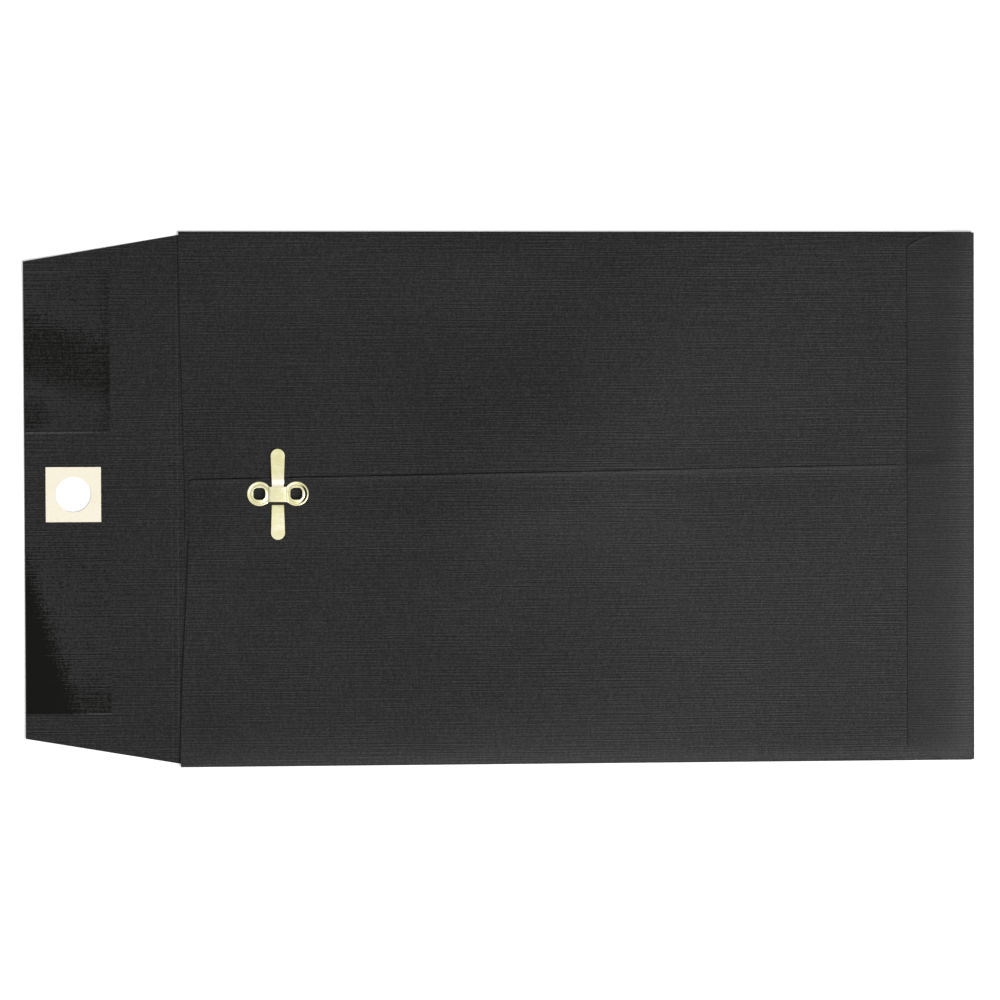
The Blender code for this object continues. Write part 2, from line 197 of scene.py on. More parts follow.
def cutEyeletHole(piece, side, width, corner):
    clearSelection()
    bpy.ops.mesh.primitive_cube_add(size=1, location=(eyeletX(side), envelope["claspY"], 0),
                                    scale=(width, width, cutterDepth))
    cutter = bpy.context.object
    bpy.ops.object.transform_apply(location=True, rotation=True, scale=True)
    editEdges(cutter, lambda first, second: abs(first.z - second.z) > mm)
    bpy.ops.mesh.bevel(offset=corner, segments=6, affect="EDGES")
    bpy.ops.object.mode_set(mode="OBJECT")
    cutOut(piece, cutter)


def cutPaperHoles(piece):
    for side in (-1, 1):
        cutEyeletHole(piece, side, eyelets["paperHole"], eyelets["paperCorner"])


def moveUp(piece, height):
    for vertex in piece.data.vertices:
        vertex.co.z += height(vertex.co.x, vertex.co.y)


def markPoints(piece, name, amount):
    attribute = piece.data.attributes.new(name, "FLOAT", "POINT")
    for vertex, record in zip(piece.data.vertices, attribute.data):
        record.value = amount(vertex.co.x, vertex.co.y)


def layOut(piece, layer, flatPlace=None):
    # where each point lies on the flat sheet, so that the pattern follows the folds
    attribute = piece.data.attributes.new("lie", "FLOAT_VECTOR", "POINT")
    for vertex, record in zip(piece.data.vertices, attribute.data):
        x, y = flatPlace(vertex.co) if flatPlace else vertex.co.xy
        record.vector = (x, y, layer)


def finish(piece, material, slot, body, *nodes):
    makeActive(piece)
    bpy.ops.object.shade_smooth_by_angle(angle=math.radians(35))
    piece.data.materials.clear()
    piece.data.materials.append(material)
    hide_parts(*nodes)
    if body:
        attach(piece, body)


# shader sums

class Wire:
    # one socket of a material, so that sums of sockets are written as sums
    def __init__(self, tree, socket=None):
        self.tree = tree
        self.socket = socket

    def node(self, kind, settings=None, values=None, output=0):
        made = self.tree.nodes.new(kind)
        for name, value in (settings or {}).items():
            setattr(made, name, value)
        for name, value in (values or {}).items():
            if isinstance(value, Wire):
                self.tree.links.new(value.socket, made.inputs[name])
            else:
                made.inputs[name].default_value = value
        return Wire(self.tree, made.outputs[output] if made.outputs else None)

    def maths(self, operation, first, second):
        return self.node("ShaderNodeMath", dict(operation=operation), {0: first, 1: second})

    def __add__(self, other):
        return self.maths("ADD", self, other)

    def __sub__(self, other):
        return self.maths("SUBTRACT", self, other)

    def __rsub__(self, other):
        return self.maths("SUBTRACT", other, self)

    def __mul__(self, other):
        return self.maths("MULTIPLY", self, other)

    __radd__ = __add__
    __rmul__ = __mul__


def outputOf(wire, name):
    # another output of the node that a wire comes from
    return Wire(wire.tree, wire.socket.node.outputs[name])


def newMaterial(name, **constants):
    material = bpy.data.materials.new(name)
    material.use_nodes = True
    shader = material.node_tree.nodes["Principled BSDF"]
    for socket, value in constants.items():
        shader.inputs[socket.replace("_", " ")].default_value = value
    return material, Wire(material.node_tree)


def plug(material, **wires):
    shader = material.node_tree.nodes["Principled BSDF"]
    for socket, wire in wires.items():
        material.node_tree.links.new(wire.socket, shader.inputs[socket.replace("_", " ")])


def lieOf(start):
    return start.node("ShaderNodeAttribute", dict(attribute_name="lie"), output="Vector")


def markOf(start, name):
    return start.node("ShaderNodeAttribute", dict(attribute_name=name), output="Fac")


def axisOf(place, index):
    return outputOf(place.node("ShaderNodeSeparateXYZ", None, {0: place}), index)


def streaks(start, place, scale, detail=2.0, seed=0.0, shift=0.0):
    # noise drawn out along one way
    shifted = (seed, seed + shift, seed)
    drawn = start.node("ShaderNodeMapping", None, {"Vector": place, "Scale": scale, "Location": shifted})
    values = {"Vector": drawn, "Scale": 1.0, "Detail": detail, "Roughness": 0.55}
    return start.node("ShaderNodeTexNoise", None, values)


def ramp(start, value, low, high):
    return start.node("ShaderNodeMapRange", dict(interpolation_type="SMOOTHSTEP"),
                      {"Value": value, "From Min": low, "From Max": high})


def mixColours(start, factor, *colours):
    first, second = [(*colour, 1) if isinstance(colour, tuple) else colour for colour in colours]
    return start.node("ShaderNodeMix", dict(data_type="RGBA"), {0: factor, 6: first, 7: second}, output=2)


def bumpOf(start, height, strength, depth):
    return start.node("ShaderNodeBump", None, {"Strength": strength, "Distance": depth, "Height": height})


# the third colour is paler paper, painted as sheen along the folds and as a highlight under the seam's edge
linen = dict(
    dark=(0.0015, 0.0015, 0.0015), light=(0.0360, 0.0360, 0.0364), paleSheen=(0.080, 0.080, 0.081),
    specular=0.158, rough=0.47, crestShine=0.05, contrast=0.88, pressed=0.40,
    thread=(40, 2800, 1), flank=0.36 * mm, crossThread=(2300, 320, 1), fibre=(1700, 2400, 1),
    cloud=(20, 32, 1), clouded=0.10, emboss=0.13 * mm, bump=0.8,
)


def makeEmboss(start, place):
    # long threads pressed in rows, each between two flanks, over short cross threads and fibres
    scale = linen["thread"]
    shift = linen["flank"] * scale[1]
    flanks = streaks(start, place, scale, 1.0, 0.0, shift) + streaks(start, place, scale, 1.0, 0.0, -shift)
    thread = streaks(start, place, scale, 1.0) * 2 - flanks
    crossThread = streaks(start, place, linen["crossThread"], 1.0, 7.7)
    fibre = streaks(start, place, linen["fibre"], 1.0, 5.3)
    rest = (crossThread - 0.5) * 0.24 + (fibre - 0.5) * 0.62 + 0.5
    return thread * 0.29 + rest, thread * 0.35 + rest * 0.5


def makeLinenPaper():
    material, start = newMaterial("linenPaper", Specular_IOR_Level=linen["specular"])
    place = lieOf(start)
    tone, height = makeEmboss(start, place)
    cloud = streaks(start, place, linen["cloud"], 3.0, 9.2)
    # the bottom flap was pressed smoother
    onFlap = ramp(start, axisOf(place, 2), layers["bottomWing"] - 0.6, layers["bottomWing"] - 0.4)
    contrast = linen["contrast"] - onFlap * linen["pressed"]
    crests = (tone - 0.5) * contrast + 0.5 + (cloud - 0.5) * linen["clouded"]
    crests = ramp(start, crests, 0.30, 0.90)
    colour = mixColours(start, crests, linen["dark"], linen["light"])
    # painted sheen and highlight: paler paper where the fold and seam mark is set
    colour = mixColours(start, markOf(start, "paintedSheen") * (0.5 + crests * 0.5), colour, linen["paleSheen"])
    rough = linen["rough"] - crests * linen["crestShine"]
    bump = bumpOf(start, height, linen["bump"], linen["emboss"])
    plug(material, Base_Color=colour, Roughness=rough, Normal=bump)
    return material


# the darkest colour serves for the gum's pools and a painted dark reflection; the palest one is a painted
# highlight along its edges
gumLook = dict(
    thin=(0.0262, 0.0264, 0.0272), poolsAndReflection=(0.0016, 0.0016, 0.0012), edgeHighlight=(0.105, 0.105, 0.101),
    specular=0.09, tint=(1.0, 1.0, 0.93, 1.0), rough=0.55, thickShine=0.2,
    pool=(70, 110, 1), softEdge=(0.1, 1.9), emboss=0.05 * mm, bump=0.8, edge=0.12 * mm,
)
upperGumMarks = dict(
    bandX=-136 * mm, bandY=43.6 * mm, slope=0.30, ragged=9 * mm, bandWidth=8.2 * mm, band=0.41,
    spotX=-134.5 * mm, spotY=24.5 * mm, spotRadius=4.6 * mm, spot=0.28, rightEdge=0.16,
    upperEdgeY=64.85 * mm, lowerEdgeY=19.12 * mm,
)
lowerGumMarks = dict(
    wedgeX=-136.1 * mm, wedgeY=-21 * mm, acrossX=-0.953, acrossY=-0.303, ragged=7 * mm,
    wedge=1.1, side=0.2, edgeY=-60.78 * mm,
)


def paintedEdgeHighlight(start, y, edgeY):
    # a painted highlight: a pale line along an edge, where the gum's ridge catches the light
    off = (y - edgeY) * (1 / gumLook["edge"])
    return 1 - ramp(start, off * off, 0.1, 1.6)


def upperPoolsAndPaintedLight(start, x, y, tone):
    # a painted dark reflection in a band that slopes down to the right, a dark spot by the end, a dark right
    # edge, and painted highlights along the upper and lower edges
    across = (y - upperGumMarks["bandY"]) + (x - upperGumMarks["bandX"]) * upperGumMarks["slope"]
    across = (across + (tone - 0.5) * upperGumMarks["ragged"]) * (1 / upperGumMarks["bandWidth"])
    band = 1 - ramp(start, across * across, *gumLook["softEdge"])
    fade = 1.0 - ramp(start, x, -128 * mm, -108 * mm) * 0.5
    spotX, spotY = x - upperGumMarks["spotX"], y - upperGumMarks["spotY"]
    spot = (spotX * spotX + spotY * spotY) * (1 / upperGumMarks["spotRadius"] ** 2)
    # the band is painted shade: a dark reflection laid into the gum's colour
    dark = band * fade * upperGumMarks["band"]
    dark += (1 - ramp(start, spot, *gumLook["softEdge"])) * upperGumMarks["spot"]
    dark += ramp(start, x, -117 * mm, -112 * mm) * upperGumMarks["rightEdge"]
    lower = paintedEdgeHighlight(start, y, upperGumMarks["lowerEdgeY"])
    lower *= 0.75 - ramp(start, x, -126 * mm, -112 * mm) * 0.6
    upper = paintedEdgeHighlight(start, y, upperGumMarks["upperEdgeY"])
    upper *= 0.32 - ramp(start, x, -130 * mm, -116 * mm) * 0.28
    return dark, lower + upper


def lowerPoolsAndHighlight(start, x, y, tone):
    # a dark wedge at the end, wider towards the side, with threads standing out of it, and a painted
    # highlight along the lower edge
    inside = (x - lowerGumMarks["wedgeX"]) * lowerGumMarks["acrossX"]
    inside += (y - lowerGumMarks["wedgeY"]) * lowerGumMarks["acrossY"]
    inside += (0.5 - tone) * lowerGumMarks["ragged"]
    dark = ramp(start, inside, -4.5 * mm, 2.4 * mm) * lowerGumMarks["wedge"]
    dark += ramp(start, y, -46 * mm, -60 * mm) * lowerGumMarks["side"]
    edgeHighlight = paintedEdgeHighlight(start, y, lowerGumMarks["edgeY"])
    return dark, edgeHighlight * (0.2 + ramp(start, x, -128 * mm, -119 * mm) * 0.42)


def makeGumFilm(name, gumMarks):
    material, start = newMaterial(name, Specular_IOR_Level=gumLook["specular"], Specular_Tint=gumLook["tint"])
    place = lieOf(start)
    tone, height = makeEmboss(start, place)
    pool = streaks(start, place, gumLook["pool"], 2.0, 4.4)
    dark, edgeHighlight = gumMarks(start, axisOf(place, 0), axisOf(place, 1), tone)
    # the dark mark darkens the gum where it pooled, and in the upper strip it paints the dark reflection band
    poolsAndReflection = ramp(start, 0.36 + dark + (pool - 0.5) * 0.3 + (0.5 - tone) * 2.3, 0.0, 1.0)
    colour = mixColours(start, poolsAndReflection, gumLook["thin"], gumLook["poolsAndReflection"])
    # paints the pale highlight along the edges
    colour = mixColours(start, edgeHighlight * ramp(start, pool + tone, 0.72, 1.15), colour, gumLook["edgeHighlight"])
    rough = gumLook["rough"] - poolsAndReflection * gumLook["thickShine"]
    bump = bumpOf(start, height, gumLook["bump"], gumLook["emboss"])
    plug(material, Base_Color=colour, Roughness=rough, Normal=bump)
    return material


patchLook = dict(
    plain=(0.90, 0.845, 0.69), warm=(0.85, 0.78, 0.60), specular=0.3, rough=0.62,
    fibre=(900, 2200, 1), cloud=(160, 210, 1), emboss=0.03 * mm, bump=0.35,
)


def makePatchPaper():
    material, start = newMaterial("patchPaper", Specular_IOR_Level=patchLook["specular"])
    place = lieOf(start)
    fibre = streaks(start, place, patchLook["fibre"], 3.0, 2.2)
    cloud = streaks(start, place, patchLook["cloud"], 2.0, 6.1)
    warmth = ramp(start, fibre * 0.6 + cloud * 0.4, 0.45, 0.75)
    colour = mixColours(start, warmth, patchLook["plain"], patchLook["warm"])
    bump = bumpOf(start, fibre, patchLook["bump"], patchLook["emboss"])
    plug(material, Base_Color=colour, Roughness=patchLook["rough"] + cloud * 0.15, Normal=bump)
    return material


# the palest colour is used for painted highlights and a paler tone, the dark one for painted shade
brassLook = dict(
    plain=(0.72, 0.685, 0.375), worn=(0.84, 0.80, 0.56), paleSheen=(0.84, 0.783, 0.66),
    paintedShade=(0.030, 0.028, 0.022), rough=0.24,
    brush=(260, 3400, 600), cloud=(420, 420, 420), emboss=0.01 * mm, bump=0.2,
)


def makePaleBrass():
    material, start = newMaterial("paleBrass", Metallic=1.0)
    place = lieOf(start)
    paintedLight = markOf(start, "paintedLight")
    brush = streaks(start, place, brassLook["brush"], 2.0, 1.9)
    cloud = streaks(start, place, brassLook["cloud"], 3.0, 8.8)
    worn = ramp(start, cloud * 0.7 + brush * 0.3, 0.45, 0.7)
    clean = mixColours(start, worn, brassLook["plain"], brassLook["worn"])
    # a mark below zero paints paler, whiter metal: a painted highlight on the prongs and a paler tone over
    # the saddle
    paleSheen = ramp(start, (cloud - 0.5) * 0.5 - paintedLight, 0.0, 1.0)
    clean = mixColours(start, paleSheen, clean, brassLook["paleSheen"])
    # a mark above zero paints shade: painted shade in the eyelets' grooves and a painted shadow in the lower
    # prong's score line
    dark = ramp(start, paintedLight + (cloud - 0.5) * 0.35 * paintedLight, 0.05, 0.85)
    colour = mixColours(start, dark, clean, brassLook["paintedShade"])
    rough = brassLook["rough"] + brush * 0.12 + dark * 0.2
    bump = bumpOf(start, brush, brassLook["bump"], brassLook["emboss"])
    plug(material, Base_Color=colour, Roughness=rough, Normal=bump)
    return material


pasteLook = dict(
    pale=(0.58, 0.55, 0.47), dark=(0.44, 0.41, 0.33), specular=0.5, rough=0.3, cloud=(220, 340, 1),
)


def makeDryPaste():
    material, start = newMaterial("dryPaste", Specular_IOR_Level=pasteLook["specular"])
    cloud = streaks(start, lieOf(start), pasteLook["cloud"], 3.0, 2.7)
    colour = mixColours(start, cloud, pasteLook["pale"], pasteLook["dark"])
    plug(material, Base_Color=colour, Roughness=pasteLook["rough"] + cloud * 0.35)
    return material


linenPaper = makeLinenPaper()
patchPaper = makePatchPaper()
paleBrass = makePaleBrass()
dryPaste = makeDryPaste()
gumUpper = makeGumFilm("gumUpper", upperPoolsAndPaintedLight)
gumLower = makeGumFilm("gumLower", lowerPoolsAndHighlight)
print("materials made")

# pocket

# how high each form of the empty pocket stands, and between which places it comes and goes
puff = dict(
    halfWidth=75.4 * mm, ridge=1.4 * mm, ridgeY=6 * mm, ridgeSide=(0, 0.65),
    rise=(-46 * mm, 2 * mm), ridgeFall=(5 * mm, 62 * mm), ridgeLoss=0.95,
    crown=0.9 * mm, crownX=10 * mm, crownFall=(10 * mm, 90 * mm), cockle=0.22 * mm, cockleScale=(17, 24),
    pillow=0.5 * mm, pillowSide=((0.05, 0.45), (0.5, 1)), pillowX=((0, 45 * mm), (45 * mm, 100 * mm)),
    pinch=0.32 * mm, pinchFall=(-91 * mm, -77 * mm),
    sag=0.5 * mm, sagX=((-92 * mm, -74 * mm), (-10 * mm, 45 * mm)),
    upperSag=((12 * mm, 38 * mm), (52 * mm, 75 * mm)), lowerSag=((3 * mm, 19 * mm), (36 * mm, 74 * mm)),
)
shoulders = dict(
    upper=0.10 * mm, lower=0.45 * mm, lowerMore=0.7, lowerMoreX=(30 * mm, 80 * mm), end=1.0 * mm,
    upperRise=1.3 * mm, lowerRise=2.2 * mm, cornerRise=8 * mm, endRise=3.6 * mm,
    sideReach=9 * mm, endReach=21 * mm, throat=(-91 * mm, -72 * mm),
)


def shoulder(x, y):
    # the sheet springs up beside its soft folds
    fromUpper, fromLower = max(upperSideY - y, 0), max(y - lowerSideY, 0)
    fromEnd = max(panelEndX - x, 0)
    side = (1 - fadeOut(fromUpper, shoulders["upperRise"])) * (1 - fadeOut(fromLower, shoulders["lowerRise"]))
    end = 1 - fadeOut(fromEnd, shoulders["endRise"])
    corner = 1 - fadeOut(min(fromUpper, fromLower), shoulders["cornerRise"])
    lower = shoulders["lower"] * (1 + shoulders["lowerMore"] * smoothBetween(x, *shoulders["lowerMoreX"]))
    along = shoulders["upper"] * fadeOut(fromUpper, shoulders["sideReach"])
    along += lower * fadeOut(fromLower, shoulders["sideReach"])
    along += shoulders["end"] * fadeOut(fromEnd, shoulders["endReach"]) * corner
    return side * end * along * smoothBetween(x, *shoulders["throat"])


def panelLift(x, y):
    # the empty pocket stands up a little past the clasp, in a ridge along the seam
    above = y > puff["ridgeY"]
    half = puff["halfWidth"] + (-puff["ridgeY"] if above else puff["ridgeY"])
    side = min(abs(y - puff["ridgeY"]) / half, 1)
    end = min(max((x - puff["crownX"]) / (panelEndX - puff["crownX"]), 0), 1)
    rise = smoothBetween(x, *puff["rise"])
    ridge = puff["ridge"] * (1 - smoothBetween(side, *puff["ridgeSide"]))
    ridge *= 1 - puff["ridgeLoss"] * smoothBetween(x, *puff["ridgeFall"])
    crown = (1 - side ** 7) * (1 - end ** 7)
    acrossX, acrossY = puff["cockleScale"]
    wave = noise.noise(Vector((x * acrossX, y * acrossY, 0.4))) * puff["cockle"] * crown
    crown *= 1 - smoothBetween(x, *puff["crownFall"])
    pillow = 0
    if above:
        pillow = puff["pillow"] * hump(side, *puff["pillowSide"]) * hump(x, *puff["pillowX"])
    pinch = puff["pinch"] * (1 - smoothBetween(x, *puff["pinchFall"])) * min((1 - side ** 2.6) * 4, 1)
    # beside the clasp the panels sag to both sides of the seam
    sag = puff["sag"] * max(hump(y, *puff["upperSag"]), hump(-y, *puff["lowerSag"]))
    sag *= hump(x, *puff["sagX"]) * (1 + rise)
    return rise * (ridge + puff["crown"] * crown + wave) + pillow + shoulder(x, y) - pinch - sag


seam = dict(
    curl=0.34 * mm, curlLoss=0.4, curlFall=(-10 * mm, 40 * mm), flapFall=(109 * mm, 116 * mm),
    dip=0.16 * mm, dipReach=0.6 * mm, dipLoss=0.6, dipFall=(-20 * mm, 30 * mm), claspDip=0.14 * mm,
    # distances from the clasp
    prongClear=(2.8 * mm, 4.6 * mm), claspClear=(8 * mm, 16 * mm), claspFall=(11 * mm, 17 * mm),
)


def seamCurl(x, y):
    # the lower panel's free edge stands up a little, except under the prong and the bottom flap
    away = abs(x - envelope["claspX"])
    free = smoothBetween(away, *seam["claspClear"])
    width = (0.5 + 0.6 * free) * mm
    near = math.exp(-(max(seamY(x) - y, 0) / width) ** 1.4)
    clear = smoothBetween(away, *seam["prongClear"]) * (1 - smoothBetween(x, *seam["flapFall"]))
    share = 0.65 + 0.35 * free - seam["curlLoss"] * smoothBetween(x, *seam["curlFall"])
    return seam["curl"] * near * clear * share


def seamDip(x, y):
    # the upper panel sinks a little along the seam
    near = fadeOut(abs(y - seamY(x)), seam["dipReach"])
    byClasp = 1 - smoothBetween(abs(x - envelope["claspX"]), *seam["claspFall"])
    dip = seam["dip"] * (0.5 + 0.5 * smoothBetween(x, *puff["pinchFall"]))
    dip *= 1 - seam["dipLoss"] * smoothBetween(x, *seam["dipFall"])
    return (dip + seam["claspDip"] * byClasp) * near


# where the folds get a painted sheen and the seam a painted highlight, as paler paper
paintedSheen = dict(
    lower=0.26, lowerLoss=0.22, lowerFall=(15 * mm, 80 * mm), lowerReach=7 * mm, end=0.18, endReach=6 * mm,
    seam=0.10, seamInset=0.55 * mm, seamWidth=0.35 * mm, seamRise=(-60 * mm, -20 * mm),
)


def foldSheen(x, y):
    # painted sheen: the lower side fold and the bottom fold are painted paler, as where they catch the light
    lower = paintedSheen["lower"] - paintedSheen["lowerLoss"] * smoothBetween(x, *paintedSheen["lowerFall"])
    lower *= fadeOut(max(y - lowerSideY, 0), paintedSheen["lowerReach"])
    return lower + paintedSheen["end"] * fadeOut(max(panelEndX - x, 0), paintedSheen["endReach"])


def seamAndFoldSheen(x, y):
    # and a painted highlight: a pale line just under the seam's free edge, on top of the fold sheen
    edge = bell(seamY(x) - y - paintedSheen["seamInset"], paintedSheen["seamWidth"])
    return foldSheen(x, y) + paintedSheen["seam"] * edge * smoothBetween(x, *paintedSheen["seamRise"])


def throatX(y, sideY, innerY, depth):
    share = min(max((y - sideY) / (innerY - sideY), 0), 1)
    return pocketX + depth * crowdEnds(share)


faceSheet = dict(columns=60, rows=40)


def makeFaceSheet():
    def place(u, v):
        x = pocketX + u * (panelEndX - pocketX)
        return x, lowerSideY + v * (upperSideY - lowerSideY), envelope["faceZ"]

    piece = addGrid("face_sheet", faceSheet["columns"], faceSheet["rows"], place)
    thicken(piece, envelope["paper"])
    layOut(piece, layers["face"])
    finish(piece, linenPaper, "linen_paper", "pocket", "face_panel")


def unrolled(sideY, sign, foldRadius):
    # the fold's half turn laid flat beyond the side
    radius = foldRadius + envelope["paper"] / 2

    def flatPlace(point):
        beyond = (point.y - sideY) * sign
        if beyond <= 0:
            return point.x, point.y
        return point.x, sideY + sign * radius * math.asin(min(beyond / radius, 1))
    return flatPlace


upperWing = dict(columns=150, rows=100, foldRadius=0.4 * mm, throatDepth=1.6 * mm, lap=17.0 * mm, lapRow=0.86)


def makeUpperWing():
    lapRow, lap = upperWing["lapRow"], upperWing["lap"]

    def place(u, v):
        along = crowdStart(u)
        x = envelope["foldX"] + along * (panelEndX - envelope["foldX"])
        # rows crowd at the fold and at the seam
        if v < lapRow:
            y = upperSideY + crowdEnds(v / lapRow) * (seamY(x) - upperSideY)
        else:
            y = seamY(x) - (v - lapRow) / (1 - lapRow) * lap
        left = throatX(y, upperSideY, seamY(envelope["foldX"]) - lap, upperWing["throatDepth"])
        return left + along * (wingEndX - left), y, envelope["upperZ"]

    piece = addGrid("upper_wing", upperWing["columns"], upperWing["rows"], place)
    centre = (0, upperSideY, envelope["upperZ"] - upperWing["foldRadius"])
    spinEdge(piece, 1, upperSideY, centre, (1, 0, 0))
    thicken(piece, envelope["paper"])
    cutPaperHoles(piece)
    moveUp(piece, lambda x, y: panelLift(x, y) - seamDip(x, y))
    layOut(piece, layers["upperWing"], unrolled(upperSideY, 1, upperWing["foldRadius"]))
    finish(piece, linenPaper, "linen_paper", "pocket", "side_fold_upper", "side_panel_upper")


lowerWing = dict(columns=170, rows=100, foldRadius=0.53 * mm, throatDepth=2.8 * mm, corner=1.2 * mm)


def makeLowerWing():
    corner = lowerWing["corner"]

    def place(u, v):
        along = crowdStart(u)
        x = envelope["foldX"] + along * (panelEndX - envelope["foldX"])
        y = lowerSideY + crowdEnds(v) * (seamY(x) - lowerSideY)
        left = throatX(y, lowerSideY, seamY(envelope["foldX"]) - corner, lowerWing["throatDepth"])
        short = min(max(corner - (seamY(x) - y), 0), corner)  # the corner by the seam is rounded
        left += corner - math.sqrt(corner ** 2 - short ** 2)
        return left + along * (wingEndX - left), y, envelope["lowerZ"]

    piece = addGrid("lower_wing", lowerWing["columns"], lowerWing["rows"], place)
    centre = (0, lowerSideY, envelope["lowerZ"] - lowerWing["foldRadius"])
    spinEdge(piece, 1, lowerSideY, centre, (-1, 0, 0))
    thicken(piece, envelope["paper"])
    cutPaperHoles(piece)
    moveUp(piece, lambda x, y: panelLift(x, y) + seamCurl(x, y))
    markPoints(piece, "paintedSheen", seamAndFoldSheen)
    layOut(piece, layers["lowerWing"], unrolled(lowerSideY, -1, lowerWing["foldRadius"]))
    finish(piece, linenPaper, "linen_paper", "pocket", "side_fold_lower", "side_panel_lower")


bottomWing = dict(
    columns=40, rows=200, foldRadius=0.66 * mm, depth=19.6 * mm, cornerRun=13.0 * mm, cornerRise=4.2 * mm,
    half=envelope["halfWidth"] - 0.25 * mm,
    step=0.23 * mm, stepRise=(0.05 * mm, 2.4 * mm), stepFall=(122 * mm, 133 * mm),
    press=0.05 * mm, pressReach=1.5 * mm,
    cornerCurl=0.16 * mm, curlRise=(70.5 * mm, 73 * mm), curlFall=(120 * mm, 128 * mm),
)


def bottomEdgeX(y):
    # the free edge runs back to the fold in a curve at each side
    run, rise = bottomWing["cornerRun"], bottomWing["cornerRise"]
    radius = (run * run + rise * rise) / (2 * rise)
    edge = envelope["bottomX"] - bottomWing["depth"]
    over = abs(y) - (bottomWing["half"] - rise)
    if over <= 0:
        return edge
    return edge + run - math.sqrt(max(radius ** 2 - (radius - rise + over) ** 2, 0))


def bottomStep(x, y):
    # it lies lower where only the upper panel is under it, and its free edge is pressed down
    low = bottomWing["step"] * smoothBetween(y - seamY(x), *bottomWing["stepRise"])
    low *= 1 - smoothBetween(x, *bottomWing["stepFall"])
    # but stands up a little at its upper corner
    byEdge = fadeOut(max(x - bottomEdgeX(y), 0), bottomWing["pressReach"])
    curl = smoothBetween(y, *bottomWing["curlRise"]) * (1 - smoothBetween(x, *bottomWing["curlFall"]))
    return low + (bottomWing["press"] - bottomWing["cornerCurl"] * curl) * byEdge


def makeBottomWing():
    def place(u, v):
        y = -math.cos(v * math.pi) * bottomWing["half"]
        left = bottomEdgeX(y)
        return left + math.sin(u * math.pi / 2) * (panelEndX - left), y, envelope["bottomZ"]

    piece = addGrid("bottom_wing", bottomWing["columns"], bottomWing["rows"], place)
    centre = (panelEndX, 0, envelope["bottomZ"] - bottomWing["foldRadius"])
    spinEdge(piece, 0, panelEndX, centre, (0, -1, 0))
    thicken(piece, envelope["paper"])
    moveUp(piece, lambda x, y: panelLift(x, y) - bottomStep(x, y))
    markPoints(piece, "paintedSheen", foldSheen)
    layOut(piece, layers["bottomWing"])
    finish(piece, linenPaper, "linen_paper", "pocket", "bottom_fold", "bottom_flap")


pastes = dict(
    film=0.04 * mm, throatMargin=4.3 * mm, seamMargin=1.2 * mm, lap=17.0 * mm, seamZ=1.03 * mm,
    bottomMargin=2.0 * mm, bottomInset=6.0 * mm, bottomZ=1.29 * mm,
    step=0.23 * mm, stepRise=(0.1 * mm, 1.4 * mm),
)


def makeSeamPaste():
    left = envelope["foldX"] + pastes["throatMargin"]
    right = panelEndX - pastes["seamMargin"]

    def place(u, v):
        x = left + u * (right - left)
        top = seamY(x) - pastes["seamMargin"]
        return x, top - v * (pastes["lap"] - 2 * pastes["seamMargin"]), pastes["seamZ"]

    piece = addGrid("seam_paste_film", 90, 10, place)
    thicken(piece, pastes["film"])
    cutPaperHoles(piece)
    moveUp(piece, panelLift)
    layOut(piece, layers["seamPaste"])
    finish(piece, dryPaste, "dry_paste", "pocket", "seam_paste")


def makeBottomPaste():
    edge = envelope["bottomX"] - bottomWing["depth"] + pastes["bottomMargin"]
    side = envelope["halfWidth"] - pastes["bottomInset"]

    def place(u, v):
        x = edge + u * (panelEndX - pastes["bottomMargin"] - edge)
        y = -side + v * 2 * side
        deep = smoothBetween(y - seamY(x), *pastes["stepRise"])
        return x, y, pastes["bottomZ"] - deep * pastes["step"]

    piece = addGrid("bottom_paste_film", 12, 140, place)
    thicken(piece, pastes["film"])
    moveUp(piece, panelLift)
    layOut(piece, layers["bottomPaste"])
    finish(piece, dryPaste, "dry_paste", "pocket", "bottom_paste")


makeFaceSheet()
makeUpperWing()
makeLowerWing()
makeBottomWing()
makeSeamPaste()
makeBottomPaste()
print("pocket made")

# closure flap

flap = dict(
    rootInset=1.0 * mm, endInset=8.5 * mm, depth=43.5 * mm, crease=0.06 * mm, creaseWidth=0.16 * mm,
    curl=0.5 * mm, curlStart=1 * mm, curlRun=41 * mm, curlHalf=67 * mm, curlMiddle=0.25,
    columns=48, rows=90,
)
scoreBand = dict(columns=16, rows=76)


def flapHalfWidth(x):
    share = (envelope["foldX"] - x) / flap["depth"]
    return envelope["halfWidth"] - flap["rootInset"] - (flap["endInset"] - flap["rootInset"]) * share


def flapLift(x, y):
    # the flap curls up towards its end, most at the corners
    reach = min(max((envelope["scoreX"] - flap["curlStart"] - x) / flap["curlRun"], 0), 1)
    corner = min(abs(y) / flap["curlHalf"], 1) ** 2.5
    return flap["curl"] * reach ** 2 * (flap["curlMiddle"] + (1 - flap["curlMiddle"]) * corner)


def pressCreases(piece):
    # the two score lines are pressed into the upper face
    lines = (envelope["foldX"], envelope["scoreX"])
    for vertex in piece.data.vertices:
        if vertex.co.z > envelope["faceZ"]:
            pressed = sum(bell(vertex.co.x - line, flap["creaseWidth"]) for line in lines)
            vertex.co.z -= flap["crease"] * pressed


def makeScoreBand():
    def place(u, v):
        x = stripMiddleX + u * (pocketX - stripMiddleX)
        half = flapHalfWidth(min(x, envelope["foldX"]))
        return x, (v * 2 - 1) * half, envelope["faceZ"]

    piece = addGrid("score_band_sheet", scoreBand["columns"], scoreBand["rows"], place)
    thicken(piece, envelope["paper"])
    pressCreases(piece)
    layOut(piece, layers["face"])
    finish(piece, linenPaper, "linen_paper", None, "score_strip")
    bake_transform(piece)


